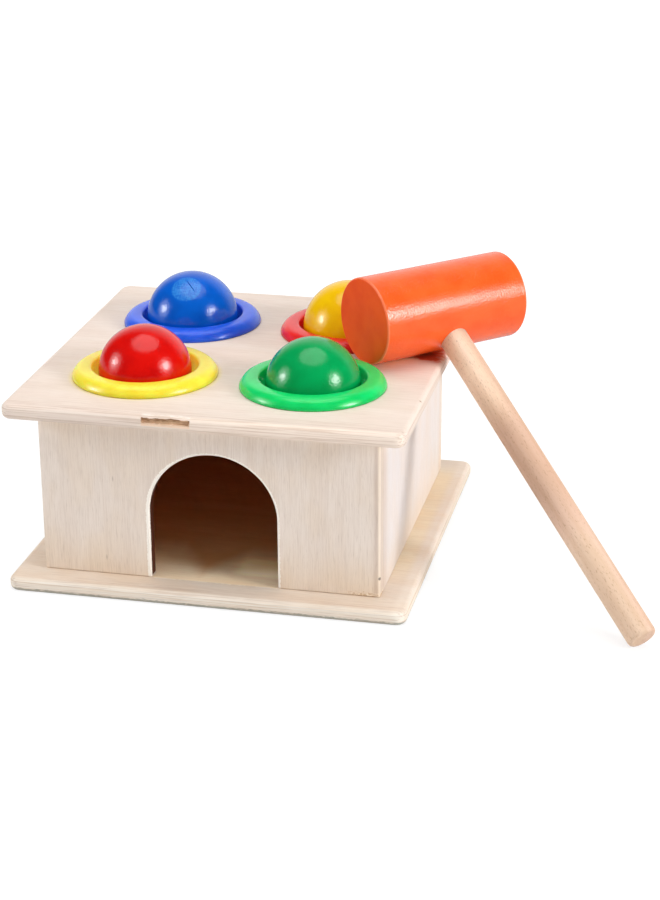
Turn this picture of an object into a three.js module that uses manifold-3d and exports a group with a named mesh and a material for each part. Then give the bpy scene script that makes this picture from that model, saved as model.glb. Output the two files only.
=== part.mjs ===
// Ball pounding bench: a small plywood box with balls in soft rings on top, and a hammer leaning on it.
// Millimetres, +Z up. The origin is the centre of the base board's underside and the doorway faces -Y.

import * as THREE from 'three';
import Module from 'manifold-3d';
import { mergeVertices } from 'three/addons/utils/BufferGeometryUtils.js';

const wasm = await Module();
wasm.setup();

// Balls: the size that the rings are made for
const ballRadius = 13.7;

// Rings: a collar round the ball, a flange on the board, a neck through it, a bead that snaps under it,
// and a lip below the ball's middle that holds the ball until it is hit
const collarGap = 1.6;
const collarThickness = 1.9;
const flangeWidth = 3.85;
const ringHeight = 3.2;
const crestRounding = 0.7;
const shoulderWidth = 0.85;
const shoulderDrop = 1.15;
const flangeEdgeHeight = 1.1;
const flangeEdgeRounding = 0.5;
const beadReach = 0.9;
const beadHeight = 1.6;
const lipDepth = 3.9;
const lipThickness = 1.2;
const ringSpacingGap = 7.5;

// Walls
const wallThickness = 4.4;
const wallHeight = 48.2;
const wallEdgeSoftening = 0.25;
const wallToRing = 2;

// Boards: how far they reach past the walls on each side
const topOverhang = 8.2;
const topThickness = 4.4;
const baseLedge = 8.7;
const baseThickness = 4.2;
const boardCornerRadius = 3.2;
const boardEdgeRadius = 1.6;
const largestEdgeShare = 0.4;

// Doorway in the front wall: the wall left above it, and how far it is off centre
const doorWidth = 37.2;
const lintelHeight = 9.3;
const doorOffset = 1.2;

// Hammer: handleReach runs from the head's middle to the end of the handle
const headRadius = 12.85;
const headLength = 49.2;
const headEdgeRounding = 0.6;
const handleRadius = 4.2;
const handleReach = 120.6;
const handleChamfer = 0.7;
const socketFloor = 6.7;

// How the hammer lies: its head's turn from the X axis, its distance from the green ring,
// and the least room between its handle and the top board's right edge
const headTurn = THREE.MathUtils.degToRad(44.6);
const headToGreenRing = 1;
const handleToEdge = 2.05;

// Clearances
const seatGap = 0.3;
const lipGap = 0.35;
const neckGap = 0.3;
const socketGap = 0.25;
const cutOverrun = 2;

// Counts of steps along curves
const cornerSteps = 4;
const edgeSteps = 3;
const archSteps = 24;
const ballColumns = 32;
const ballRows = 20;
const ringSteps = 36;
const headSteps = 48;
const handleSteps = 24;
const roundingSteps = 3;

// Sizes that follow, from the balls outwards
const collarRadius = ballRadius + collarGap;
const neckRadius = collarRadius + collarThickness;
const ringRadius = neckRadius + flangeWidth;
const shoulderRadius = ringRadius - shoulderWidth;
const shoulderHeight = ringHeight - shoulderDrop;
const ballPlace = ringRadius + ringSpacingGap / 2;
const wallInside = ballPlace + neckRadius + beadReach + wallToRing;
const boxSide = 2 * (wallInside + wallThickness);
const topSide = boxSide + 2 * topOverhang;
const baseSide = boxSide + 2 * baseLedge;
const topUnderside = baseThickness + wallHeight;
const topSurface = topUnderside + topThickness;

// Wood, paint and plastic
const finishes = {
  topPly: { color: 0xefdfc6, roughness: 0.62 },
  basePly: { color: 0xe8d8c0, roughness: 0.66 },
  wallPly: { color: 0xe2d0b8, roughness: 0.64 },
  beech: { color: 0xe2bd97, roughness: 0.55 },
  orangePaint: { color: 0xf2581f, roughness: 0.42 },
  redPaint: { color: 0xdc1c18, roughness: 0.32 },
  greenPaint: { color: 0x10a85c, roughness: 0.32 },
  bluePaint: { color: 0x0c5cbe, roughness: 0.32 },
  yellowPaint: { color: 0xf2b80c, roughness: 0.32 },
  yellowPlastic: { color: 0xf6e63c, roughness: 0.4 },
  greenPlastic: { color: 0x27d468, roughness: 0.4 },
  bluePlastic: { color: 0x2b4fd0, roughness: 0.4 },
  redPlastic: { color: 0xd8302c, roughness: 0.4 },
};

// Where each ball sits, with its own colour and its ring's. The balls are turned a little uneven:
// oversize is what one has over ballRadius, and lift is how high its centre is above the top board.
const seats = [
  { x: -ballPlace, y: -ballPlace, ball: 'red', ring: 'yellow', oversize: -0.2, lift: 1.2 },
  { x: ballPlace, y: -ballPlace, ball: 'green', ring: 'green', oversize: 0, lift: 0.5 },
  { x: -ballPlace, y: ballPlace, ball: 'blue', ring: 'blue', oversize: 0.3, lift: 1.7 },
  { x: ballPlace, y: ballPlace, ball: 'yellow', ring: 'red', oversize: 0.4, lift: 1.7 },
];

function piece(name, geometry, finish) {
  const material = new THREE.MeshStandardMaterial({ metalness: 0, ...finishes[finish] });
  const mesh = new THREE.Mesh(geometry, material);
  mesh.name = name;
  return mesh;
}

// Turns a closed mesh into a solid that can be cut
function toSolid(geometry) {
  const bare = geometry.clone();
  bare.deleteAttribute('normal');
  bare.deleteAttribute('uv');
  const merged = mergeVertices(bare);
  return new wasm.Manifold(new wasm.Mesh({
    numProp: 3,
    vertProperties: Float32Array.from(merged.attributes.position.array),
    triVerts: Uint32Array.from(merged.index.array),
  }));
}

// Turns a cut solid back into a mesh
function toGeometry(solid) {
  const mesh = solid.getMesh();
  const geometry = new THREE.BufferGeometry();
  geometry.setAttribute('position', new THREE.BufferAttribute(mesh.vertProperties, 3));
  geometry.setIndex(new THREE.BufferAttribute(mesh.triVerts, 1));
  geometry.computeVertexNormals();
  return geometry;
}

// Adds the points of an arc to a profile; angles in radians from the direction of growing radius
function addArc(points, centreRadius, centreHeight, radius, from, to, steps) {
  for (let step = 0; step <= steps; step += 1) {
    const angle = from + (to - from) * (step / steps);
    const across = centreRadius + radius * Math.cos(angle);
    const up = centreHeight + radius * Math.sin(angle);
    points.push(new THREE.Vector2(across, up));
  }
}

// Square outline with round corners, centred on the origin
function roundedSquare(side, radius) {
  const reach = side / 2 - radius;
  const quarter = Math.PI / 2;
  const shape = new THREE.Shape();
  shape.absarc(reach, reach, radius, 0, quarter);
  shape.absarc(-reach, reach, radius, quarter, 2 * quarter);
  shape.absarc(-reach, -reach, radius, 2 * quarter, 3 * quarter);
  shape.absarc(reach, -reach, radius, 3 * quarter, 4 * quarter);
  return shape;
}

// Board with rounded corners and edges, lying on z = 0
function boardGeometry(side, thickness) {
  const rounding = Math.min(boardEdgeRadius, largestEdgeShare * thickness);
  const geometry = new THREE.ExtrudeGeometry(roundedSquare(side, boardCornerRadius), {
    depth: thickness - 2 * rounding,
    curveSegments: cornerSteps,
    bevelEnabled: true,
    bevelThickness: rounding,
    bevelSize: rounding,
    bevelOffset: -rounding,
    bevelSegments: edgeSteps,
  });
  geometry.translate(0, 0, rounding);
  return geometry;
}

function baseBoard() {
  return piece('base_board', boardGeometry(baseSide, baseThickness), 'basePly');
}

// Top board with a hole for each ring's neck
function topBoard() {
  let solid = toSolid(boardGeometry(topSide, topThickness));
  const holeRadius = neckRadius + neckGap;
  const cutHeight = topThickness + 2 * cutOverrun;
  for (const seat of seats) {
    const hole = new THREE.CylinderGeometry(holeRadius, holeRadius, cutHeight, ringSteps);
    hole.rotateX(Math.PI / 2);
    hole.translate(seat.x, seat.y, topThickness / 2);
    solid = solid.subtract(toSolid(hole));
  }
  const mesh = piece('top_board', toGeometry(solid), 'topPly');
  mesh.position.z = topUnderside;
  return mesh;
}

// Upright panel in the XZ plane with its lower edge on z = 0 and its thickness centred on Y
function panelGeometry(outline) {
  const geometry = new THREE.ExtrudeGeometry(outline, {
    depth: wallThickness - 2 * wallEdgeSoftening,
    curveSegments: archSteps,
    bevelEnabled: true,
    bevelThickness: wallEdgeSoftening,
    bevelSize: wallEdgeSoftening,
    bevelOffset: -wallEdgeSoftening,
    bevelSegments: 1,
  });
  geometry.translate(0, 0, wallEdgeSoftening - wallThickness / 2);
  geometry.rotateX(Math.PI / 2);
  return geometry;
}

function plainOutline(width) {
  const shape = new THREE.Shape();
  shape.moveTo(-width / 2, 0);
  shape.lineTo(width / 2, 0);
  shape.lineTo(width / 2, wallHeight);
  shape.lineTo(-width / 2, wallHeight);
  shape.closePath();
  return shape;
}

// Straight jambs up to a half-round head, open at the bottom onto the base board
function doorwayOutline() {
  const radius = doorWidth / 2;
  const spring = wallHeight - lintelHeight - radius;
  const shape = new THREE.Shape();
  shape.moveTo(boxSide / 2, 0);
  shape.lineTo(boxSide / 2, wallHeight);
  shape.lineTo(-boxSide / 2, wallHeight);
  shape.lineTo(-boxSide / 2, 0);
  shape.lineTo(doorOffset - radius, 0);
  shape.absarc(doorOffset, spring, radius, Math.PI, 0, true);
  shape.lineTo(doorOffset + radius, 0);
  shape.closePath();
  return shape;
}

// The front and back walls run the full width and cover the ends of the side walls
function walls() {
  const group = new THREE.Group();
  const centre = wallInside + wallThickness / 2;
  const front = piece('front_wall', panelGeometry(doorwayOutline()), 'wallPly');
  front.position.set(0, -centre, baseThickness);
  const back = piece('back_wall', panelGeometry(plainOutline(boxSide)), 'wallPly');
  back.position.set(0, centre, baseThickness);
  const left = piece('left_wall', panelGeometry(plainOutline(2 * wallInside)), 'wallPly');
  left.position.set(-centre, 0, baseThickness);
  left.rotation.z = Math.PI / 2;
  const right = piece('right_wall', panelGeometry(plainOutline(2 * wallInside)), 'wallPly');
  right.position.set(centre, 0, baseThickness);
  right.rotation.z = Math.PI / 2;
  group.add(front, back, left, right);
  return group;
}

// Inner radius at a depth below the board's surface that leaves lipGap round the resting ball
function seatRadius(seat, depth) {
  return Math.sqrt((ballRadius + seat.oversize + lipGap) ** 2 - (seat.lift + depth) ** 2);
}

// Ring turned about the Z axis from one closed section, with the board's surface at z = 0
function ringGeometry(seat) {
  const quarter = Math.PI / 2;
  const edge = flangeEdgeRounding;
  const crest = crestRounding;
  const beadTop = -(topThickness + seatGap);
  const foot = beadTop - beadHeight;
  const points = [new THREE.Vector2(neckRadius, 0)];
  addArc(points, ringRadius - edge, edge, edge, -quarter, 0, roundingSteps);
  points.push(new THREE.Vector2(ringRadius, flangeEdgeHeight));
  points.push(new THREE.Vector2(shoulderRadius, shoulderHeight));
  addArc(points, collarRadius + crest, ringHeight - crest, crest, quarter, 2 * quarter, roundingSteps);
  points.push(new THREE.Vector2(collarRadius, 0));
  points.push(new THREE.Vector2(seatRadius(seat, lipDepth / 2), -lipDepth / 2));
  points.push(new THREE.Vector2(seatRadius(seat, lipDepth), -lipDepth));
  points.push(new THREE.Vector2(seatRadius(seat, lipDepth) + lipThickness, foot));
  points.push(new THREE.Vector2(neckRadius, foot));
  points.push(new THREE.Vector2(neckRadius + beadReach, beadTop - beadHeight / 2));
  points.push(new THREE.Vector2(neckRadius, beadTop));
  points.push(new THREE.Vector2(neckRadius, 0));
  const geometry = new THREE.LatheGeometry(points, ringSteps);
  geometry.rotateX(quarter);
  return geometry;
}

function ballGeometry(seat) {
  const radius = ballRadius + seat.oversize;
  const geometry = new THREE.SphereGeometry(radius, ballColumns, ballRows);
  geometry.rotateX(Math.PI / 2);
  return geometry;
}

function ballsAndRings() {
  const group = new THREE.Group();
  for (const seat of seats) {
    const ring = piece(`${seat.ring}_ring`, ringGeometry(seat), `${seat.ring}Plastic`);
    ring.position.set(seat.x, seat.y, topSurface);
    const ball = piece(`${seat.ball}_ball`, ballGeometry(seat), `${seat.ball}Paint`);
    ball.position.set(seat.x, seat.y, topSurface + seat.lift);
    group.add(ring, ball);
  }
  return group;
}

// Turned rod along Y from start to end, its rims rounded over in rimSteps steps
function rodGeometry(radius, start, end, rim, rimSteps, columns) {
  const quarter = Math.PI / 2;
  const points = [new THREE.Vector2(0, start)];
  addArc(points, radius - rim, start + rim, rim, -quarter, 0, rimSteps);
  addArc(points, radius - rim, end - rim, rim, 0, quarter, rimSteps);
  points.push(new THREE.Vector2(0, end));
  return new THREE.LatheGeometry(points, columns);
}

// Head along X with a blind socket for the handle, which runs out along -Y
function hammerHead() {
  const half = headLength / 2;
  const head = rodGeometry(headRadius, -half, half, headEdgeRounding, roundingSteps, headSteps);
  head.rotateZ(Math.PI / 2);
  const socketRadius = handleRadius + socketGap;
  const inner = headRadius - socketFloor;
  const outer = -(headRadius + cutOverrun);
  const socket = new THREE.CylinderGeometry(socketRadius, socketRadius, inner - outer, handleSteps);
  socket.translate(0, (inner + outer) / 2, 0);
  return piece('hammer_head', toGeometry(toSolid(head).subtract(toSolid(socket))), 'orangePaint');
}

function hammerHandle() {
  const inner = headRadius - socketFloor - socketGap;
  const rod = rodGeometry(handleRadius, -handleReach, inner, handleChamfer, 1, handleSteps);
  return piece('hammer_handle', rod, 'beech');
}

// How far the handle slopes down: the corner of its end comes to seatGap above the ground
function handleSlope(headHeight) {
  const cornerReach = handleReach - handleChamfer;
  const corner = Math.hypot(cornerReach, handleRadius);
  return Math.asin((headHeight - seatGap) / corner) - Math.atan2(handleRadius, cornerReach);
}

// Where the middle of the head lies in plan. Along the head, its near end is clear of the green ring.
// Along the handle, the head lies against the red ring, or further out if the board's edge needs it.
function headPlace(slope) {
  const alongHead = new THREE.Vector2(Math.cos(headTurn), Math.sin(headTurn));
  const alongHandle = new THREE.Vector2(Math.sin(headTurn), -Math.cos(headTurn));
  const greenRing = new THREE.Vector2(ballPlace, -ballPlace);
  const redRing = new THREE.Vector2(ballPlace, ballPlace);
  const reach = greenRing.dot(alongHead) + ringRadius + headToGreenRing + headLength / 2;

  const rise = seatGap + headRadius;
  const clear = headRadius + seatGap;
  const fromRing = shoulderRadius + Math.sqrt(clear ** 2 - (rise - shoulderHeight) ** 2);
  const againstRing = redRing.dot(alongHandle) + fromRing;

  const outward = Math.cos(slope) * alongHandle.x;
  const down = Math.sin(slope);
  const room = (handleRadius + handleToEdge) * Math.hypot(outward, down);
  const leastX = topSide / 2 + (room - outward * rise) / down;
  const pastEdge = (leastX - reach * alongHead.x) / alongHandle.x;

  const place = alongHead.multiplyScalar(reach);
  return place.addScaledVector(alongHandle, Math.max(againstRing, pastEdge));
}

// The head lies along the top board and the handle slopes down to the ground
function hammer() {
  const group = new THREE.Group();
  const height = topSurface + seatGap + headRadius;
  const slope = handleSlope(height);
  const place = headPlace(slope);
  group.add(hammerHead(), hammerHandle());
  group.position.set(place.x, place.y, height);
  group.rotation.set(slope, 0, headTurn, 'ZYX');
  return group;
}

const bench = new THREE.Group();
bench.add(baseBoard(), walls(), topBoard(), ballsAndRings(), hammer());

export default bench;
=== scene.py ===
"""Looks of the ball pounding bench: sanded plywood boards, painted balls in soft rings, and a hammer."""

import math

import bpy
from mathutils import Matrix, Vector


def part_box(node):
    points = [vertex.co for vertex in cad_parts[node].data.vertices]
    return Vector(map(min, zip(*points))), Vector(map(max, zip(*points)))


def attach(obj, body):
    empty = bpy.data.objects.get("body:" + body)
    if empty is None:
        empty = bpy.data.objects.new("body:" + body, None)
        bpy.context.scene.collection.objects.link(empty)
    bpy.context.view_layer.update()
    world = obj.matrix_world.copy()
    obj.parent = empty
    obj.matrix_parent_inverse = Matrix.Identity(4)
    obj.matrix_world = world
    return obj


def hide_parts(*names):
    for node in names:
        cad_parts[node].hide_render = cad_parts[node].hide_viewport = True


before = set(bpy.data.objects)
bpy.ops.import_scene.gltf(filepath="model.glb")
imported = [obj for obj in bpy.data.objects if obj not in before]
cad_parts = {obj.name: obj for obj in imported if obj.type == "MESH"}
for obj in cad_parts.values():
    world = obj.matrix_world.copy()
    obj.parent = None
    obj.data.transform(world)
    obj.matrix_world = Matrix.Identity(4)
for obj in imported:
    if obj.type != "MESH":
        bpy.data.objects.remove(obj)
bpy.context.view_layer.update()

MM = 0.001

# Points closer than this count as one
NEAR = 0.01 * MM

# Boards and walls, in metres like every size below
BOARD_CORNER = 3.2 * MM
BOARD_EDGE = 1.6 * MM
WALL_ARRIS = 0.3 * MM
DOOR_ARRIS = 0.5 * MM
DOOR_WIDTH = 37.2 * MM
DOOR_HEIGHT = 38.9 * MM
DOOR_OFFSET = 1.2 * MM
INSIDE_REACH = 44.9 * MM
CORNER_ARRIS = 0.7 * MM
FACE_PLY = 1.15 * MM
HOLE_RADIUS = 17.5 * MM

# Gap in the top board's core that shows in its front edge, and how roughly it is torn
GAP_LEFT = -16.1 * MM
GAP_RIGHT = -2.4 * MM
GAP_LOW = 2.2 * MM
GAP_HIGH = 3.75 * MM
GAP_DEPTH = 0.9 * MM
TEAR_SIZE = 0.9 * MM
TEAR_STRENGTH = 1.1 * MM

# Small marks: a knot in the top board's right edge, the tip of the painted shadow and orange bounce under
# the hammer's head, a spot on the front wall's corner and streaks on its face
KNOT = Vector((56.75, -30.3, 56.6)) * MM
SPOT = Vector((49.1, -49.1, 10)) * MM
HEAD_SHADOW_TIP = Vector((47.6, 4.85, 56.8)) * MM
WALL_STREAKS = ((-30.6 * MM, 9.4 * MM), (-27.8 * MM, 33.8 * MM))

# Shades of the wood's own marks, and last the painted warm shade inside the closed box
GRAIN_LINE = "a88a72"
GRAIN_DASH = "8a6e58"
GLUE_LINE = "a88a70"
STREAK = "b89a84"
PALE_EDGE = "fff0dc"
PAINTED_INSIDE_SHADE = "ec9654"

RING_RADIUS = 21.05 * MM
COLLAR_RADIUS = 15.3 * MM

# The balls are turned a little unevenly. Two have a drying crack: direction from the centre, direction along
# the crack and half its length. The blue one has a paler spot of end grain with a painted reflection of the
# top lamp over it.
BALL_WAVES = 12 * MM
BALL_UNEVENNESS = 0.04 * MM
CRACKS = {
    "blue": ((0.12, -0.5, 0.86), (0.33, -0.31, -0.21), 3.2 * MM),
    "green": ((-0.725, -0.328, 0.601), (0.469, 0.42, 0.772), 1.7 * MM),
}
CRACK_HALF_WIDTH = 0.14 * MM
CRACK_DEPTH = 0.5 * MM
GRAIN_AND_GLARE_SPOT = Vector((0.5, -7.8, 11.55)) * MM
GRAIN_AND_GLARE_REACH = 4.5 * MM

# Hammer
HEAD_RADIUS = 12.82 * MM
HEAD_LENGTH = 49.2 * MM
HEAD_RIM = 0.6 * MM
HEAD_TURN = math.radians(44.6)
HANDLE_RADIUS = 4.2 * MM
HANDLE_REACH = 120.6 * MM
HANDLE_CHAMFER = 0.7 * MM
HANDLE_ROUNDING = 1.1 * MM
SOCKET_DEPTH = 19 * MM
SOCKET_GAP = 0.05 * MM

# Camera, fitted to the photograph
CAMERA_TURN = math.radians(12.76)
CAMERA_RISE = math.radians(21.62)
CAMERA_ROLL = math.radians(-0.374)
CAMERA_DISTANCE = 0.64986
CAMERA_TARGET = Vector((0.023965, 0, 0.027604))
FOCAL_LENGTH = 86.98
SENSOR_HEIGHT = 36

# Lamps: direction from the box, radius and radiance. Round each side lamp a wide, dim one shows in gloss
# alone.
LAMP_DISTANCE = 1.2
LEFT_LAMP = Vector((-0.891, -0.306, 0.326))
LEFT_LAMP_RADIUS = 0.138
RIGHT_LAMP = Vector((0.876, -0.289, 0.368))
RIGHT_LAMP_RADIUS = 0.2
SIDE_LAMP_RADIANCE = 20
HALO_RADIUS = 0.37
HALO_RADIANCE = 3
TOP_LAMP_RADIUS = 0.58
TOP_LAMP_RADIANCE = 2.2

# Light from all round, and what gloss mirrors: a dark room before the box, a white backdrop behind it, which
# begins and is full at these shares of the direction, and a dimmer floor
AMBIENT = 0.46
DIM_ROOM = 0.02
BRIGHT_BACKDROP = 1
BACKDROP_REACH = (0.42, 0.9)
DIM_FLOOR = 0.65

# The floor glows less near the box, so that the box's shadow shows, and fully past the second distance in
# millimetres
FLOOR_SIZE = 20
NEAR_GLOW = 0.76
GLOW_REACH = (120, 500)


def colour(code):
    """A linear colour from its screen code, such as efdfc6."""
    shades = [int(code[i:i + 2], 16) / 255 for i in (0, 2, 4)]
    return tuple(s / 12.92 if s <= 0.04045 else ((s + 0.055) / 1.055) ** 2.4 for s in shades) + (1,)


def middle(node):
    low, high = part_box(node)
    return (low + high) / 2


# Modelling steps

def start(add, **settings):
    """Adds one primitive with nothing else selected, and puts its place in its mesh."""
    bpy.ops.object.select_all(action="DESELECT")
    add(**settings)
    bpy.ops.object.transform_apply(location=True, rotation=True, scale=True)
    return bpy.context.object


def block(low, high):
    """A box between two corners."""
    size = high - low
    return start(bpy.ops.mesh.primitive_cube_add, size=1, location=(low + high) / 2, scale=size)


def shape(piece, operator, edges=None, faces=None, **settings):
    """Runs one edit-mode operator on the edges or faces that a test picks."""
    bpy.context.view_layer.objects.active = piece
    mesh = piece.data
    bpy.ops.object.mode_set(mode="EDIT")
    bpy.ops.mesh.select_mode(type="EDGE" if edges else "FACE")
    bpy.ops.mesh.select_all(action="DESELECT")
    bpy.ops.object.mode_set(mode="OBJECT")
    if edges:
        for edge in mesh.edges:
            edge.select = edges(*(mesh.vertices[i].co for i in edge.vertices))
    if faces:
        for face in mesh.polygons:
            face.select = faces(face.center, face.normal)
    bpy.ops.object.mode_set(mode="EDIT")
    operator(**settings)
    bpy.ops.object.mode_set(mode="OBJECT")


def modify(piece, kind, **settings):
    """Adds one modifier and applies it."""
    bpy.context.view_layer.objects.active = piece
    modifier = piece.modifiers.new(kind, kind)
    for name, value in settings.items():
        setattr(modifier, name, value)
    bpy.ops.object.modifier_apply(modifier=modifier.name)


def cut(piece, cutter):
    modify(piece, "BOOLEAN", operation="DIFFERENCE", object=cutter, solver="EXACT")
    bpy.data.objects.remove(cutter)


def cloud(name, size):
    texture = bpy.data.textures.new(name, "CLOUDS")
    texture.noise_scale = size
    return texture


def dress(piece, name, node, body, finish, sharp=30):
    """Smooths a finished piece, names it, gives it its body and its finish, and hides the node it stands
    for.
    """
    bpy.ops.object.select_all(action="DESELECT")
    piece.select_set(True)
    bpy.context.view_layer.objects.active = piece
    bpy.ops.object.shade_smooth_by_angle(angle=math.radians(sharp))
    modify(piece, "WEIGHTED_NORMAL", keep_sharp=True)
    piece.name = name
    piece.data.materials.clear()
    piece.data.materials.append(finish)
    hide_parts(node)
    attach(piece, body)


# Finishes

class Value:
    """A number or colour that varies over a surface: one output of a finish's nodes."""

    def __init__(self, finish, socket):
        self.finish = finish
        self.socket = socket

    def sum(self, operation, first, second):
        return self.finish.node("Math", {"operation": operation}, {0: first, 1: second})

    def __add__(self, other):
        return self.sum("ADD", self, other)

    def __radd__(self, other):
        return self.sum("ADD", other, self)

    def __sub__(self, other):
        return self.sum("SUBTRACT", self, other)

    def __rsub__(self, other):
        return self.sum("SUBTRACT", other, self)

    def __mul__(self, other):
        return self.sum("MULTIPLY", self, other)

    def __rmul__(self, other):
        return self.sum("MULTIPLY", other, self)

    def __abs__(self):
        return self.sum("ABSOLUTE", self, 0)


class Finish:
    """A node material around one Principled shader, or a tree of the caller's own."""

    def __init__(self, name, **constants):
        self.material = bpy.data.materials.new(name)
        self.material.use_nodes = True
        self.tree = self.material.node_tree
        self.shader = self.tree.nodes["Principled BSDF"]
        for socket, value in constants.items():
            self.shader.inputs[socket.replace("_", " ")].default_value = value

    def node(self, kind, settings, values, output=0):
        """Adds a node: its settings first, then the values or links of its sockets."""
        made = self.tree.nodes.new("ShaderNode" + kind)
        for name, value in settings.items():
            if name == "stops":
                self.set_stops(made.color_ramp, value)
            else:
                setattr(made, name, value)
        for socket, value in values.items():
            self.feed(made.inputs[socket], value)
        return Value(self, made.outputs[output])

    def set_stops(self, ramp, stops):
        while len(ramp.elements) < len(stops):
            ramp.elements.new(1)
        for element, (place, shade) in zip(ramp.elements, stops):
            element.position = place
            element.color = shade

    def feed(self, socket, value):
        if isinstance(value, Value):
            self.tree.links.new(value.socket, socket)
        else:
            socket.default_value = value

    def place(self, centre=(0, 0, 0), turn=(0, 0, 0)):
        """Object coordinates in millimetres about a centre, turned to a piece's own axes."""
        around = self.node("TexCoord", {}, {}, "Object")
        values = {"Vector": around, "Location": centre, "Rotation": turn, "Scale": (MM, MM, MM)}
        return self.node("Mapping", {"vector_type": "TEXTURE"}, values)

    def stretch(self, place, sizes):
        """Divides coordinates by a size in millimetres along each axis."""
        shares = tuple(1 / size for size in sizes)
        return self.node("VectorMath", {"operation": "MULTIPLY"}, {0: place, 1: shares})

    def noise(self, place, sizes, detail=2, roughness=0.5, distortion=0, seed=0):
        """Noise from 0 to 1 whose features have these sizes in millimetres."""
        values = {"Vector": self.stretch(place, sizes), "W": seed, "Scale": 1, "Detail": detail,
                  "Roughness": roughness, "Distortion": distortion}
        return self.node("TexNoise", {"noise_dimensions": "4D"}, values)

    def part(self, place, axis):
        return self.node("SeparateXYZ", {}, {0: place}, axis)

    def larger(self, first, second):
        return self.node("Math", {"operation": "MAXIMUM"}, {0: first, 1: second})

    def distance(self, across, along, up=0):
        joined = self.node("CombineXYZ", {}, {0: across, 1: along, 2: up})
        return self.node("VectorMath", {"operation": "LENGTH"}, {0: joined}, 1)

    def between(self, value, low, high):
        """0 below low, 1 above high, and smooth in between. low may be above high."""
        settings = {"interpolation_type": "SMOOTHSTEP"}
        return self.node("MapRange", settings, {0: value, 1: low, 2: high, 3: 0, 4: 1})

    def blend(self, share, first, second, mode="MIX"):
        settings = {"data_type": "RGBA", "blend_type": mode}
        return self.node("Mix", settings, {0: share, 6: first, 7: second}, 2)

    def bump(self, height):
        """Height in millimetres, turned into the shader's normal."""
        normal = self.node("Bump", {}, {"Strength": 1, "Distance": MM, "Height": height})
        self.feed(self.shader.inputs["Normal"], normal)

    def surface(self, **inputs):
        for socket, value in inputs.items():
            self.feed(self.shader.inputs[socket.replace("_", " ")], value)
        return self.material


def plywood(name, node, turn, half, shades, lines, dashes, marks):
    """Sanded three-ply board. In its own axes X runs with the face grain and Z through the thickness."""
    pale, deep, warm = map(colour, shades)
    wood = Finish(name, Specular_IOR_Level=0.3)
    place = wood.place(middle(node), turn)
    depth = half / MM - abs(wood.part(place, "Z"))
    fibre = wood.noise(place, (8, 0.3, 0.3), detail=3, roughness=0.65)
    figure = wood.noise(place, (70, 4.5, 4.5), detail=2, distortion=0.3, seed=3)
    patch = wood.noise(place, (16, 9, 9), detail=2, seed=7)
    short = wood.between(wood.noise(place, (2.6, 0.3, 0.3), detail=1, seed=11), 0.54, 0.74)
    tone = wood.blend(0.6 * wood.between(figure, 0.35, 0.7), pale, deep)
    tone = wood.blend(0.6 * wood.between(patch, 0.4, 0.65), tone, warm)
    tone = wood.blend(lines * wood.between(fibre, 0.38, 0.72), tone, colour(GRAIN_LINE))
    tone = wood.blend(dashes * short, tone, colour(GRAIN_DASH))

    # Along the edges the plies show as faint lines
    edge = wood.between(depth, 0.3, 0.7)
    layers = wood.noise(place, (26, 26, 0.3), detail=2, roughness=0.6, seed=5)
    plies = wood.blend(wood.between(layers, 0.35, 0.68), pale, warm)
    plies = wood.blend(0.3 * wood.between(layers, 0.55, 0.7), plies, colour(GLUE_LINE))
    tone = wood.blend(0.9 * edge, tone, plies)
    glue = wood.between(abs(depth - FACE_PLY / MM), 0.16, 0.04) * wood.between(fibre, 0.3, 0.6)
    tone = wood.blend(0.3 * glue, tone, colour(GLUE_LINE))
    height = 0.016 * fibre - 0.03 * short - 0.03 * glue + 0.02 * edge * layers
    tone, height = marks(wood, tone, height)
    wood.bump(height)
    return wood.surface(Base_Color=tone, Roughness=0.6 + 0.12 * fibre)


def tint(wood, share, tone, factors):
    """Multiplies a colour by a factor for each channel, where share is 1."""
    return wood.blend(share, tone, (*factors, 1), "MULTIPLY")


def sheltered(wood, here):
    """1 on the faces inside the box, between the four walls."""
    inside = INSIDE_REACH / MM
    across = wood.larger(abs(wood.part(here, "X")), abs(wood.part(here, "Y")))
    return wood.between(across, inside + 0.4, inside + 0.1)


def paint(name, shade, dark, node, turn=(0, 0, 0), level=0.42, roughness=0.12, peel=0.045, marks=None):
    """Gloss paint over turned wood, whose grain shows through as fine lines along Z."""
    coat = Finish(name, Specular_IOR_Level=level)
    place = coat.place(middle(node), turn)
    mottle = coat.noise(place, (6, 6, 6), detail=3)
    fine = coat.noise(place, (0.6, 0.6, 0.6), detail=1, seed=2)
    lines = coat.noise(place, (0.5, 0.5, 6), detail=1, seed=4)
    tone = coat.blend(coat.between(mottle, 0.35, 0.7), shade, dark)
    height = peel * fine + 0.01 * lines
    if marks:
        tone, height = marks(coat, place, tone, height)
    coat.bump(height)
    return coat.surface(Base_Color=tone, Roughness=roughness + 0.06 * fine)


def end_grain_and_glare(coat, place, tone, height):
    """A paler, cross-hatched spot: the blue ball's end grain, with a painted reflection of the top lamp over
    it.
    """
    x, y, z = GRAIN_AND_GLARE_SPOT / MM
    away = coat.distance(coat.part(place, "X") - x, coat.part(place, "Y") - y, coat.part(place, "Z") - z)
    spot = coat.between(away, GRAIN_AND_GLARE_REACH / MM + 0.4, GRAIN_AND_GLARE_REACH / MM - 0.3)
    first = coat.noise(place, (0.25, 2.4, 2.4), detail=1, seed=51)
    second = coat.noise(place, (2.4, 0.25, 0.4), detail=1, seed=52)
    hatch = coat.between(first + second, 0.85, 1.15)
    # Paler blue: partly a painted reflection of the top lamp
    tone = coat.blend(spot * (0.75 - 0.5 * hatch), tone, colour("3890e0"))
    return tone, height - 0.012 * spot * hatch


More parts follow.
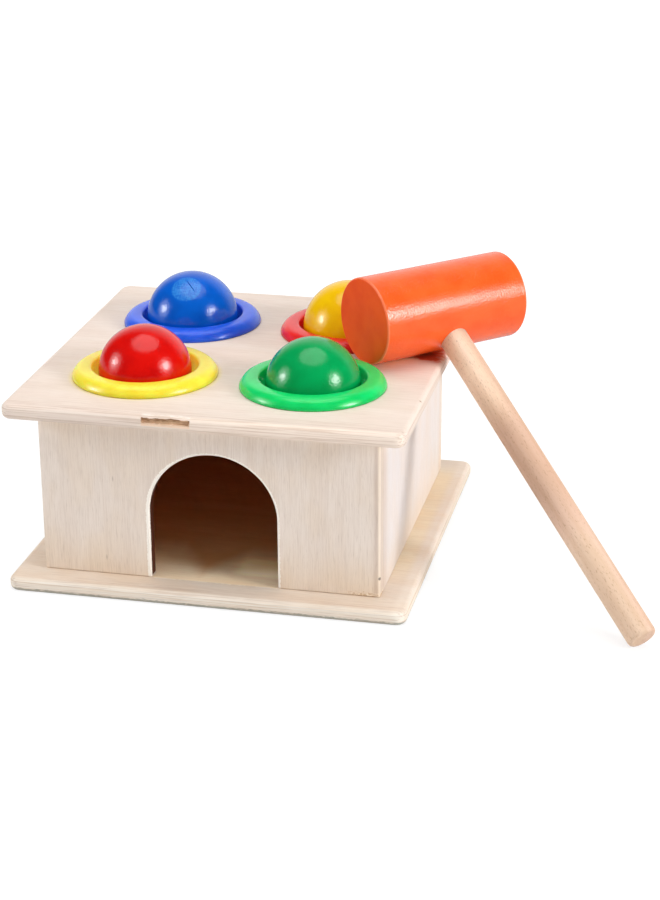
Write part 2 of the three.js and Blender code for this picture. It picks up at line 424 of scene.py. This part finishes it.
def dull_ends_and_rim_highlight(coat, place, tone, height):
    """Duller paint on the hammer head's end grain, and a painted highlight along its rims."""
    along = abs(coat.part(place, "X"))
    radius = coat.distance(coat.part(place, "Y"), coat.part(place, "Z"))
    half = HEAD_LENGTH / 2 / MM
    reach = HEAD_RADIUS / MM
    ends = coat.between(along, half - 0.4, half - 0.1)
    tone = tint(coat, ends, tone, (1, 0.82, 0.35))
    # Painted highlight: a paler line along the rounded rims, where they catch the light
    painted_rim_highlight = coat.between(along, half - 0.7, half - 0.45) * coat.between(radius, reach - 0.55, reach - 0.35)
    tone = coat.blend(0.35 * painted_rim_highlight, tone, colour("ffa27c"))
    grain = {"Base Color": tone, "Roughness": 0.6, "Specular IOR Level": 0.1}
    dull = coat.node("BsdfPrincipled", {}, grain)
    gloss = Value(coat, coat.shader.outputs["BSDF"])
    both = coat.node("MixShader", {}, {0: 0.85 * ends, 1: gloss, 2: dull})
    coat.feed(coat.tree.nodes["Material Output"].inputs["Surface"], both)
    return tone, height


def plastic(name, shade, dark, node, glow):
    """Soft moulded plastic with a satin skin, painted shade at its foot, and a painted glow inside the
    collar for the light that comes through it.
    """
    skin = Finish(name, Specular_IOR_Level=0.4, Subsurface_Weight=0.5, Subsurface_Scale=4 * MM,
                  Emission_Strength=1)
    place = skin.place(middle(node))
    cloudy = skin.noise(place, (5, 5, 3), detail=2)
    fine = skin.noise(place, (0.5, 0.5, 0.5), detail=1, seed=2)
    tone = skin.blend(skin.between(cloudy, 0.3, 0.7), shade, dark)
    # Painted shade: the ring darker towards its foot on the board
    foot = skin.between(skin.part(place, "Z"), 3.2, 1.8)
    tone = tint(skin, foot, tone, (0.86, 0.86, 0.86))
    skin.bump(0.004 * fine + 0.01 * cloudy)
    radius = skin.distance(skin.part(place, "X"), skin.part(place, "Y"))
    # Painted glow: emission inside the collar, standing for light let through the plastic
    collar = skin.between(radius, COLLAR_RADIUS / MM + 0.5, COLLAR_RADIUS / MM + 0.1)
    painted_glow = skin.blend(glow * collar, (0, 0, 0, 1), shade)
    return skin.surface(Base_Color=tone, Roughness=0.16 + 0.06 * fine, Emission_Color=painted_glow)


def beech(name, node, turn):
    """Bare beech dowel: grain along Y, short dark flecks, painted shade over the middle and painted light on
    one side.
    """
    wood = Finish(name, Specular_IOR_Level=0.35)
    place = wood.place(middle(node), turn)
    fibre = wood.noise(place, (0.3, 5, 0.3), detail=3, roughness=0.6)
    figure = wood.noise(place, (2.5, 40, 2.5), detail=2, seed=3)
    flecks = wood.between(wood.noise(place, (0.3, 1.1, 0.3), detail=1, seed=9), 0.58, 0.7)
    tone = wood.blend(wood.between(figure, 0.3, 0.7), colour("e2c0aa"), colour("d8b298"))
    along = wood.part(place, "Y")
    left = wood.between(wood.part(place, "X"), 2.5, -1.5)
    # Painted shade over the handle's middle, and painted light on its left side near the head and the foot
    tone = tint(wood, wood.between(abs(along - 2), 32, 12), tone, (0.92, 0.88, 0.84))
    tone = tint(wood, left * wood.between(along, 8, 22), tone, (1.24, 1.36, 1.36))
    tone = tint(wood, left * wood.between(along, -22, -36), tone, (1.04, 1.12, 1.1))
    tone = wood.blend(0.25 * wood.between(fibre, 0.45, 0.75), tone, colour("c39a76"))
    tone = wood.blend(0.4 * flecks, tone, colour("a87c5c"))
    wood.bump(0.02 * fibre - 0.03 * flecks)
    return wood.surface(Base_Color=tone, Roughness=0.5 + 0.12 * fibre)


# Boards

def board(node, name, finish, cutters=()):
    """Board with round corners and rounded edges, less what the cutters take away."""
    low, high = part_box(node)
    piece = block(low, high)
    shape(piece, bpy.ops.mesh.bevel, edges=lambda a, b: abs(a.z - b.z) > NEAR,
          offset=BOARD_CORNER, segments=10, affect="EDGES")
    shape(piece, bpy.ops.mesh.bevel, edges=lambda a, b: abs(a.z - b.z) < NEAR,
          offset=BOARD_EDGE, segments=6, affect="EDGES")
    for cutter in cutters:
        cut(piece, cutter)
    dress(piece, name, node, "box", finish)


def ring_hole(ring):
    low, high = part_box("top_board")
    centre = middle(ring)
    centre.z = (low.z + high.z) / 2
    return start(bpy.ops.mesh.primitive_cylinder_add, vertices=96, radius=HOLE_RADIUS,
                 depth=2 * (high.z - low.z), location=centre)


def core_gap():
    """A rough-walled pocket where the core ply ends short of the board's front edge."""
    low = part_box("top_board")[0]
    front = Vector((GAP_LEFT, low.y - GAP_DEPTH, low.z + GAP_LOW))
    back = Vector((GAP_RIGHT, low.y + GAP_DEPTH, low.z + GAP_HIGH))
    pocket = block(front, back)
    shape(pocket, bpy.ops.mesh.subdivide, faces=lambda c, n: True, number_cuts=12)
    modify(pocket, "DISPLACE", texture=cloud("torn core", TEAR_SIZE), strength=TEAR_STRENGTH,
           texture_coords="LOCAL")
    return pocket


def head_bounce_and_shadow(wood, here, tone, across, along):
    """Painted orange bounce before the hammer head's seat, and a painted dark red contact shadow by the
    edge.
    """
    right = across - HEAD_SHADOW_TIP.x / MM
    back = along - HEAD_SHADOW_TIP.y / MM
    ahead = math.sin(HEAD_TURN) * right - math.cos(HEAD_TURN) * back
    shadow_breakup = wood.noise(here, (3.5, 1.1, 1.1), detail=3, roughness=0.6, seed=26)
    # Painted light: orange bounced from the head onto the board before its seat
    painted_bounce = wood.between(ahead, 7, 0) * wood.between(ahead, -5, -2) * wood.between(right, -12, -4)
    painted_bounce = painted_bounce * wood.between(across, 56.5, 54) * (0.6 + 0.7 * shadow_breakup)
    tone = tint(wood, painted_bounce, tone, (1.2, 0.93, 0.62))
    # Painted shadow: dark red contact shadow where the head lies by the board's edge, broken up by noise
    ragged = 7 * shadow_breakup - 3.5
    painted_contact_shadow = wood.between(back + 0.3 * right - ragged, -0.8, 0.9)
    painted_contact_shadow = painted_contact_shadow * wood.between(back - right - ragged, 4, 0.6)
    painted_contact_shadow = painted_contact_shadow * wood.between(across + ragged, 57.6, 54.6) * wood.between(shadow_breakup, 0.26, 0.42)
    return tint(wood, painted_contact_shadow, tone, (0.8, 0.2, 0.1))


def top_marks(wood, tone, height):
    """Streaks by the front edge, a torn brown core inside the gap, and a small knot in the right edge."""
    here = wood.place()
    across = wood.part(here, "X")
    along = wood.part(here, "Y")
    up = wood.part(here, "Z")
    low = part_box("top_board")[0]
    streaks = wood.noise(here, (24, 0.5, 0.4), detail=2, seed=21)
    front = wood.between(along, low.y / MM + 9, low.y / MM + 2)
    tone = wood.blend(0.4 * front * wood.between(streaks, 0.5, 0.62), tone, colour(STREAK))

    ragged = 0.5 * wood.noise(here, (0.9, 0.9, 0.5), detail=2, seed=22) - 0.25
    left = wood.between(across + ragged, GAP_LEFT / MM - 0.2, GAP_LEFT / MM)
    right = wood.between(across + ragged, GAP_RIGHT / MM + 0.2, GAP_RIGHT / MM)
    front = wood.between(along, low.y / MM + 1.6, low.y / MM + 1.2)
    # Painted light: the board's front edge face made lighter
    tone = tint(wood, front * wood.between(across, -40, 20), tone, (1.12, 1.12, 1.1))
    bottom = (low.z + GAP_LOW) / MM
    ceiling = (low.z + GAP_HIGH) / MM
    above = wood.between(up + ragged, bottom - 0.15, bottom + 0.05)
    below = wood.between(up + ragged, ceiling + 0.1, ceiling - 0.1)
    torn = left * right * front * above * below
    strands = wood.noise(here, (2.6, 0.6, 0.3), detail=3, seed=23)
    core = wood.blend(wood.between(strands, 0.36, 0.64), colour("d8b290"), colour("96704e"))
    lower = wood.between(up + 2 * ragged, bottom + 0.75, bottom + 0.35)
    core = wood.blend(0.7 * lower, core, colour("eac8a6"))
    tone = wood.blend(torn, tone, core)
    rim = wood.between(abs(up - ceiling - 0.65), 0.3, 0.1)
    rim = rim * wood.between(along, low.y / MM + 2.4, low.y / MM + 2)
    specks = wood.between(wood.noise(here, (1.6, 0.7, 0.7), detail=2, seed=24), 0.42, 0.62)
    tone = wood.blend(0.4 * rim * specks * left * right, tone, colour("fffaf4"))
    # Painted highlight: a pale orange band on the lip just below the gap
    glow = left * right * front * wood.between(abs(up - bottom + 0.35), 0.55, 0.15)
    tone = wood.blend(0.45 * glow * (1 - torn), tone, colour("fccca0"))

    x, y, z = KNOT / MM
    knot = wood.distance(across - x, along - y, up - z)
    tone = wood.blend(0.7 * wood.between(knot, 0.6, 0.25), tone, colour("9c7c60"))
    tone = head_bounce_and_shadow(wood, here, tone, across, along)
    # Painted light: yellow thrown from the yellow ring onto the board round it
    x, y, z = middle("yellow_ring") / MM
    away = wood.distance(across - x, along - y)
    lit = wood.between(away, RING_RADIUS / MM + 1.6, RING_RADIUS / MM - 0.2)
    tone = tint(wood, lit, tone, (1.02, 1.02, 0.66))
    # Painted warm shade on the board's underside inside the box
    inside = sheltered(wood, here) * wood.between(up, low.z / MM + 0.3, low.z / MM + 0.1)
    return wood.blend(inside, tone, colour(PAINTED_INSIDE_SHADE)), height


def base_marks(wood, tone, height):
    """A painted ragged shadow along the lower edge, paler and warmer painted light on the ledge by the right
    wall, and painted light and shade on the floor inside the box.
    """
    here = wood.place()
    across = wood.part(here, "X")
    along = wood.part(here, "Y")
    up = wood.part(here, "Z")
    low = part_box("base_board")[0]
    front_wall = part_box("front_wall")[0].y / MM
    door = DOOR_OFFSET / MM
    reach = DOOR_WIDTH / 2 / MM
    ragged = wood.noise(here, (1.6, 1.6, 0.6), detail=3, seed=31)
    # Painted shadow along the base's lower edge, ragged like chipped ply
    painted_foot_shadow = wood.between(up + 1.8 * ragged, 2.3, 1.8)
    tone = wood.blend(0.7 * painted_foot_shadow, tone, colour("86877a"))
    streaks = wood.noise(here, (16, 0.45, 0.4), detail=2, seed=33)
    front = wood.between(along, low.y / MM + 6, low.y / MM + 2)
    tone = wood.blend(0.35 * front * wood.between(streaks, 0.5, 0.62), tone, colour(STREAK))
    rosy = wood.between(along, low.y / MM + 1.8, low.y / MM + 0.8)
    tone = tint(wood, rosy, tone, (1.07, 1.13, 1.18))
    # Painted light: the ledge beside the right wall made paler and warmer, and its outer edge paler too
    painted_ledge_light = wood.between(across, 55.5, 52.5) * wood.between(across, 48, 49)
    painted_ledge_light = painted_ledge_light * wood.between(along, -44, -20) * wood.between(along, 56, 40)
    tone = tint(wood, painted_ledge_light, tone, (1.1, 1.1, 0.98))
    tone = tint(wood, wood.between(across, 53, 55.5), tone, (1.07, 1.1, 1.12))
    broken = wood.between(wood.noise(here, (3, 3, 3), detail=2, seed=35), 0.42, 0.55)
    doorway_across = wood.between(abs(across - door), reach, reach - 0.5)
    scribed = wood.between(abs(along - front_wall), 0.28, 0.12) * doorway_across
    tone = wood.blend(0.6 * scribed * broken, tone, colour("fff4e6"))
    behind = -INSIDE_REACH / MM
    threshold = doorway_across * wood.between(along, front_wall, front_wall + 0.4)
    threshold = threshold * wood.between(along, behind + 0.9, behind + 0.4)
    inside = wood.larger(sheltered(wood, here), threshold)
    # Painted light on the floor inside the box and on the threshold, as lit through the doorway
    tone = tint(wood, inside, tone, (1.27, 1.21, 1.01))
    # Painted shade, warmer and darker, further inside
    deep = wood.between(along, front_wall + 6, front_wall + 16)
    tone = tint(wood, inside * deep, tone, (1, 0.94, 0.82))
    # Painted V-shaped shadow between the two wedges of light through the doorway, dark all over further in
    painted_shadow_wedge = wood.between(abs(across + 4) - 0.65 * (along + 42), 5, -4)
    painted_shadow_wedge = inside * wood.larger(painted_shadow_wedge, wood.between(along, -34, -20))
    # Painted pale patch of light on the floor just inside the doorway, to the right
    painted_light_patch = wood.between(across, 3, 8) * wood.between(along, -28, -33) * wood.between(along, -44, -40)
    tone = tint(wood, inside * painted_light_patch * (1 - painted_shadow_wedge), tone, (1.35, 1.42, 1.38))
    return tint(wood, painted_shadow_wedge, tone, (0.78, 0.56, 0.4)), height


# Walls

def wall(node, name, finish, cutters=()):
    """Upright panel. The one with a doorway is rounded more along its outer right-hand corner."""
    low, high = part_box(node)
    piece = block(low, high)
    if cutters:
        shape(piece, bpy.ops.mesh.bevel, offset=CORNER_ARRIS, segments=5, affect="EDGES",
              edges=lambda a, b: min(a.x, b.x) > high.x - NEAR and max(a.y, b.y) < low.y + NEAR)
    for cutter in cutters:
        cut(piece, cutter)
    modify(piece, "BEVEL", width=DOOR_ARRIS if cutters else WALL_ARRIS, segments=3,
           limit_method="ANGLE", angle_limit=math.radians(40))
    dress(piece, name, node, "box", finish)


def wall_marks(wood, tone, height):
    """Warmer towards the foot, painted light under the overhang, painted shade by the front right joint, and
    painted warm shade on the faces inside the box.
    """
    here = wood.place()
    across = wood.part(here, "X")
    up = wood.part(here, "Z")
    tone = tint(wood, wood.between(up, 20, 5), tone, (1, 0.965, 0.9))
    # Painted light: paler under the top board's overhang, where its shadow falls
    tone = tint(wood, wood.between(up, 42, 51), tone, (1.12, 1.12, 1.1))
    near = wood.between(wood.part(here, "Y"), -5, -25) * wood.between(across, 47, 48)
    tone = tint(wood, near, tone, (0.955, 0.975, 1.01))
    # Painted shade by the joint of the right wall and the front wall
    painted_joint_shade = wood.between(wood.part(here, "Y"), -38, -44) * wood.between(across, 47, 48)
    tone = tint(wood, painted_joint_shade, tone, (0.9, 0.84, 0.79))
    # Painted warm shade on the walls' inner faces inside the box
    return wood.blend(sheltered(wood, here), tone, colour(PAINTED_INSIDE_SHADE)), height


def doorway_marks(wood, tone, height):
    """Scorched cut faces with a pale sanded rim, and a spot and chips at the right-hand corner."""
    tone, height = wall_marks(wood, tone, height)
    here = wood.place()
    across = wood.part(here, "X")
    along = wood.part(here, "Y")
    up = wood.part(here, "Z")
    low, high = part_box("front_wall")
    spring = (low.z + DOOR_HEIGHT - DOOR_WIDTH / 2) / MM
    away = wood.distance(across - DOOR_OFFSET / MM, wood.larger(up - spring, 0)) - DOOR_WIDTH / 2 / MM
    crumbs = wood.noise(here, (0.5, 0.5, 0.5), detail=2, seed=41)
    rim = wood.between(away - 0.9 * crumbs - 0.3 * wood.between(across, -8, -14), 0.4, 0.12)
    tone = wood.blend(rim, tone, colour("fff8ee"))
    behind = wood.between(along - crumbs, low.y / MM + 0.1, low.y / MM + 0.4)
    scorched = wood.between(away, 0.22, 0.08) * behind
    tone = wood.blend(scorched, tone, colour("4e230e"))

    corner = wood.between(across, high.x / MM - 0.85, high.x / MM - 0.65)
    tone = wood.blend(0.55 * corner, tone, colour(PALE_EDGE))
    # Darker end face: end grain, and painted shade along the joint with the right wall
    end_face = wood.between(across, high.x / MM - 0.12, high.x / MM - 0.04)
    tone = tint(wood, end_face, tone, (0.79, 0.77, 0.79))
    x, y, z = SPOT / MM
    spot = wood.distance(across - x, along - y, up - z)
    tone = wood.blend(0.8 * wood.between(spot, 0.6, 0.3), tone, colour("6a5a50"))
    chips = wood.noise(here, (0.9, 0.9, 0.5), detail=2, seed=43)
    chipped = wood.between(across, 38, 43) * wood.between(up - low.z / MM - 2.6 * chips, 0.1, -0.3)
    flakes = wood.between(wood.noise(here, (0.8, 0.8, 0.5), detail=2, seed=45), 0.4, 0.6)
    broken = wood.blend(flakes, colour("c8a274"), colour(PALE_EDGE))
    tone = wood.blend(0.6 * chipped, tone, broken)
    for streak_across, streak_up in WALL_STREAKS:
        streak = wood.distance(4 * (across - streak_across / MM), up - streak_up / MM)
        tone = wood.blend(0.35 * wood.between(streak, 1.2, 0.3), tone, colour("8a7464"))
    return tone, height


def doorway():
    """The cutters for the doorway: straight jambs and a half-round head."""
    low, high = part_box("front_wall")
    reach = high.y - low.y
    across = Vector((DOOR_WIDTH / 2, reach, 0))
    foot = Vector((DOOR_OFFSET, (low.y + high.y) / 2, low.z))
    spring = foot + Vector((0, 0, DOOR_HEIGHT - DOOR_WIDTH / 2))
    below = Vector((0, 0, reach))
    jambs = block(foot - across - below, spring + across)
    head = start(bpy.ops.mesh.primitive_cylinder_add, vertices=128, radius=DOOR_WIDTH / 2,
                 depth=2 * reach, location=spring, rotation=(math.pi / 2, 0, 0))
    modify(jambs, "BOOLEAN", operation="UNION", object=head, solver="EXACT")
    bpy.data.objects.remove(head)
    return jambs


# Balls and rings

def ring_profile():
    """The ring's section as radius and height above the board, from the neck round to the neck."""
    section = [(20.85, 0), (21.05, 0.2), (21.05, 0.5), (20.95, 0.9), (20.75, 1.3), (20.48, 1.75),
               (20.15, 2.2), (19.75, 2.6), (19.25, 2.92), (18.6, 3.1), (17.6, 3.17), (16.5, 3.2),
               (16.0, 3.2), (15.65, 3.1), (15.42, 2.85), (15.32, 2.4), (15.3, 1.2), (15.1, 0.2),
               (14.5, -0.8), (13.85, -1.8), (13.4, -2.8), (13.1, -3.7), (13.2, -4.1), (13.7, -5),
               (14.25, -6.1), (14.5, -6.3), (16.9, -6.3), (17.2, -6.1), (18.05, -5.7), (18.1, -5.4),
               (17.3, -4.75), (17.2, -4.6), (17.2, 0)]
    return [(radius * MM, height * MM) for radius, height in section]


def ring(node, name, slot, finish):
    centre = middle(node)
    centre.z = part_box("top_board")[1].z
    profile = ring_profile()
    piece = start(bpy.ops.mesh.primitive_circle_add, vertices=len(profile), radius=RING_RADIUS)
    for vertex, (radius, height) in zip(piece.data.vertices, profile):
        vertex.co = centre + Vector((radius, 0, height))
    shape(piece, bpy.ops.mesh.spin, edges=lambda a, b: True, steps=120, angle=2 * math.pi, center=centre,
          axis=(0, 0, 1))
    shape(piece, bpy.ops.mesh.remove_doubles, faces=lambda c, n: True, threshold=NEAR)
    shape(piece, bpy.ops.mesh.normals_make_consistent, faces=lambda c, n: True, inside=False)
    dress(piece, name, node, "box", finish, sharp=50)


def ball(node, name, finish, crack=None):
    low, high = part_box(node)
    centre = (low + high) / 2
    radius = (high.z - low.z) / 2
    piece = start(bpy.ops.mesh.primitive_uv_sphere_add, segments=128, ring_count=80, radius=radius,
                  location=centre)
    modify(piece, "DISPLACE", texture=cloud(name, BALL_WAVES), strength=BALL_UNEVENNESS,
           texture_coords="LOCAL")
    if crack:
        cut(piece, drying_crack(centre, radius, *crack))
    dress(piece, name, node, node, finish)


def drying_crack(centre, radius, outward, along, reach):
    """A short split in a ball's wood, as a thin cutter shaped like a boat."""
    outward = Vector(outward).normalized()
    side = outward.cross(Vector(along)).normalized()
    turn = Matrix((side.cross(outward), side, outward)).transposed().to_euler()
    return start(bpy.ops.mesh.primitive_uv_sphere_add, segments=32, ring_count=16, radius=1,
                 location=centre + radius * outward, rotation=turn,
                 scale=(reach, CRACK_HALF_WIDTH, CRACK_DEPTH))


# Hammer

def hammer_axes():
    """The hammer's own axes: X along the head and -Y along the handle, from the middle of the head."""
    centre = middle("hammer_head")
    drop = centre.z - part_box("hammer_handle")[0].z
    reach = HANDLE_REACH - HANDLE_CHAMFER
    slope = math.asin(drop / math.hypot(reach, HANDLE_RADIUS)) - math.atan2(HANDLE_RADIUS, reach)
    turn = Matrix.Rotation(HEAD_TURN, 4, "Z") @ Matrix.Rotation(slope, 4, "X")
    return Matrix.Translation(centre) @ turn


def put(piece, axes):
    """Moves a mesh from the hammer's own axes to its place."""
    piece.data.transform(axes)


def hammer_head(axes, finish):
    piece = start(bpy.ops.mesh.primitive_cylinder_add, vertices=160, radius=HEAD_RADIUS, depth=HEAD_LENGTH,
                  rotation=(0, math.pi / 2, 0))
    shape(piece, bpy.ops.mesh.bevel, edges=lambda a, b: abs(a.x - b.x) < NEAR, offset=HEAD_RIM, segments=5,
          affect="EDGES")
    socket = start(bpy.ops.mesh.primitive_cylinder_add, vertices=96, radius=HANDLE_RADIUS + SOCKET_GAP,
                   depth=2 * SOCKET_DEPTH, location=(0, -HEAD_RADIUS, 0), rotation=(math.pi / 2, 0, 0))
    cut(piece, socket)
    put(piece, axes)
    dress(piece, "painted_head", "hammer_head", "hammer", finish)


def hammer_handle(axes, finish):
    inner = SOCKET_DEPTH - HEAD_RADIUS - 2 * HANDLE_CHAMFER
    piece = start(bpy.ops.mesh.primitive_cylinder_add, vertices=96, radius=HANDLE_RADIUS,
                  depth=HANDLE_REACH + inner, location=(0, (inner - HANDLE_REACH) / 2, 0),
                  rotation=(math.pi / 2, 0, 0))
    shape(piece, bpy.ops.mesh.bevel, edges=lambda a, b: abs(a.y - b.y) < NEAR, offset=HANDLE_ROUNDING,
          segments=3, affect="EDGES")
    put(piece, axes)
    dress(piece, "turned_handle", "hammer_handle", "hammer", finish)


def make_box():
    half_turn = math.pi / 2
    top_low, top_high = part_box("top_board")
    base_low, base_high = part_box("base_board")
    wall_low, wall_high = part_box("front_wall")
    top_half = (top_high.z - top_low.z) / 2
    base_half = (base_high.z - base_low.z) / 2
    wall_half = (wall_high.y - wall_low.y) / 2
    top_finish = plywood("top plywood", "top_board", (0, 0, 0), top_half, ("ecddd1", "e4d2c3", "e8d5c8"),
                         0.16, 0.05, top_marks)
    base_finish = plywood("base plywood", "base_board", (0, 0, 0), base_half,
                          ("eadccd", "e2ceba", "e6d0b9"), 0.2, 0.08, base_marks)
    holes = [ring_hole(f"{shade}_ring") for shade in ("yellow", "green", "blue", "red")]
    board("top_board", "sanded_top_board", top_finish, [*holes, core_gap()])
    board("base_board", "sanded_base_board", base_finish)
    upright = (half_turn, -half_turn, 0)
    sideways = (0, -half_turn, 0)
    near_shades = ("f0e3d8", "e8d8cb", "ecdbca")
    side_shades = ("efe6e1", "e9ded6", "efe1d6")
    for node, turn, shades, marks in (("front_wall", upright, near_shades, doorway_marks),
                                      ("back_wall", upright, near_shades, wall_marks),
                                      ("left_wall", sideways, side_shades, wall_marks),
                                      ("right_wall", sideways, side_shades, wall_marks)):
        lines, dashes = (0.18, 0.1) if node == "front_wall" else (0.09, 0.07)
        finish = plywood(f"{node} plywood", node, turn, wall_half, shades, lines, dashes, marks)
        wall(node, f"sanded_{node}", finish, [doorway()] if node == "front_wall" else [])


def make_balls_and_rings():
    seats = (
        ("red", ("da0c04", "c80604"), "yellow", ("f8e64a", "f2da38")),
        ("green", ("00a054", "00964c"), "green", ("18d870", "10cc64")),
        ("blue", ("005ecc", "0054be"), "blue", ("3064e8", "2458dc")),
        ("yellow", ("f8c800", "f2bc00"), "red", ("ec2c2c", "de2424")),
    )
    for ball_name, ball_shades, ring_name, ring_shades in seats:
        node = f"{ball_name}_ball"
        marks = end_grain_and_glare if ball_name == "blue" else None
        coat = paint(f"{ball_name} paint", *map(colour, ball_shades), node, marks=marks)
        ball(node, f"painted_{node}", coat, CRACKS.get(ball_name))
        node = f"{ring_name}_ring"
        # Strength of each ring's painted glow inside its collar
        glow = 0.18 if ring_name == "yellow" else 0.04
        skin = plastic(f"{ring_name} plastic", *map(colour, ring_shades), node, glow)
        ring(node, f"moulded_{node}", f"{ring_name}_plastic", skin)


def make_hammer():
    axes = hammer_axes()
    turn = tuple(axes.to_euler())
    coat = paint("orange paint", colour("fb6426"), colour("f55a1c"), "hammer_head", turn, level=0.5,
                 roughness=0.15, peel=0.115, marks=dull_ends_and_rim_highlight)
    hammer_head(axes, coat)
    hammer_handle(axes, beech("beech", "hammer_handle", turn))


# Floor, light and camera

def ray(finish, kind):
    """1 for rays of one kind: Camera, Glossy or Transmission."""
    return finish.node("LightPath", {}, {}, f"Is {kind} Ray")


def make_floor():
    floor = start(bpy.ops.mesh.primitive_plane_add, size=FLOOR_SIZE)
    pale = Finish("pale floor")
    tree = pale.tree
    matte = pale.node("BsdfDiffuse", {}, {"Color": (0.8, 0.8, 0.8, 1)})
    shown = pale.node("BsdfDiffuse", {}, {"Color": (0.3, 0.3, 0.3, 1)})
    away = pale.node("VectorMath", {"operation": "LENGTH"}, {0: pale.place()}, 1)
    strength = NEAR_GLOW + (1 - NEAR_GLOW) * pale.between(away, *GLOW_REACH)
    glow = pale.node("Emission", {}, {"Color": (1, 1, 1, 1), "Strength": strength})
    lit = pale.node("AddShader", {}, {0: shown, 1: glow})
    seen = ray(pale, "Camera") + ray(pale, "Transmission")
    both = pale.node("MixShader", {}, {0: seen, 1: matte, 2: lit})
    dim = pale.node("Emission", {}, {"Color": (1, 1, 1, 1), "Strength": DIM_FLOOR})
    both = pale.node("MixShader", {}, {0: ray(pale, "Glossy"), 1: both, 2: dim})
    pale.feed(tree.nodes["Material Output"].inputs["Surface"], both)
    tree.nodes.remove(pale.shader)
    floor.name = "floor"
    floor.data.materials.append(pale.material)


class Sky(Finish):
    """The world's nodes, made with the same methods as a finish."""

    def __init__(self):
        world = bpy.data.worlds.new("white room")
        bpy.context.scene.world = world
        world.use_nodes = True
        self.tree = world.node_tree
        self.shader = self.tree.nodes["Background"]


def make_world():
    """White where it is seen, and a dome that is brighter overhead for the light.

    Reflections find the white backdrop behind the box and a dark room before it.
    """
    sky = Sky()
    direction = sky.node("TexCoord", {}, {}, "Generated")
    backdrop = sky.between(sky.part(direction, "Y"), *BACKDROP_REACH)
    seen = ray(sky, "Camera") + ray(sky, "Transmission")
    mirrored = ray(sky, "Glossy")
    dome = 0.75 + 0.5 * sky.part(direction, "Z")
    around = AMBIENT * dome * (1 - seen - mirrored)
    room = DIM_ROOM + (BRIGHT_BACKDROP - DIM_ROOM) * backdrop
    sky.feed(sky.shader.inputs["Color"], (1, 1, 1, 1))
    sky.feed(sky.shader.inputs["Strength"], around + seen + mirrored * room)


def lamp(name, direction, radius, radiance, gloss_only=False):
    """A round lamp facing the box, with a given brightness over its own face."""
    data = bpy.data.lights.new(name, "AREA")
    data.shape = "DISK"
    data.size = 2 * radius
    data.energy = radiance * math.pi * math.pi * radius ** 2
    made = bpy.data.objects.new(name, data)
    bpy.context.scene.collection.objects.link(made)
    made.location = CAMERA_TARGET + LAMP_DISTANCE * direction.normalized()
    made.rotation_euler = direction.to_track_quat("Z", "Y").to_euler()
    made.visible_camera = False
    made.visible_diffuse = not gloss_only


def make_camera():
    data = bpy.data.cameras.new("camera")
    data.sensor_fit = "VERTICAL"
    data.sensor_height = SENSOR_HEIGHT
    data.lens = FOCAL_LENGTH
    camera = bpy.data.objects.new("camera", data)
    bpy.context.scene.collection.objects.link(camera)
    turn = Matrix.Rotation(CAMERA_TURN, 4, "Z") @ Matrix.Rotation(math.pi / 2 - CAMERA_RISE, 4, "X")
    back = turn @ Vector((0, 0, 1))
    camera.matrix_world = (Matrix.Translation(CAMERA_TARGET + CAMERA_DISTANCE * back) @ turn
                           @ Matrix.Rotation(CAMERA_ROLL, 4, "Z"))
    bpy.context.scene.camera = camera


make_camera()
make_box()
make_balls_and_rings()
make_hammer()
make_floor()
make_world()
lamp("left lamp", LEFT_LAMP, LEFT_LAMP_RADIUS, SIDE_LAMP_RADIANCE)
lamp("left halo", LEFT_LAMP, HALO_RADIUS, HALO_RADIANCE, gloss_only=True)
lamp("right lamp", RIGHT_LAMP, RIGHT_LAMP_RADIUS, SIDE_LAMP_RADIANCE)
lamp("right halo", RIGHT_LAMP, HALO_RADIUS, HALO_RADIANCE, gloss_only=True)
lamp("top lamp", Vector((0, 0, 1)), TOP_LAMP_RADIUS, TOP_LAMP_RADIANCE)
bpy.context.scene.view_settings.view_transform = "Standard"
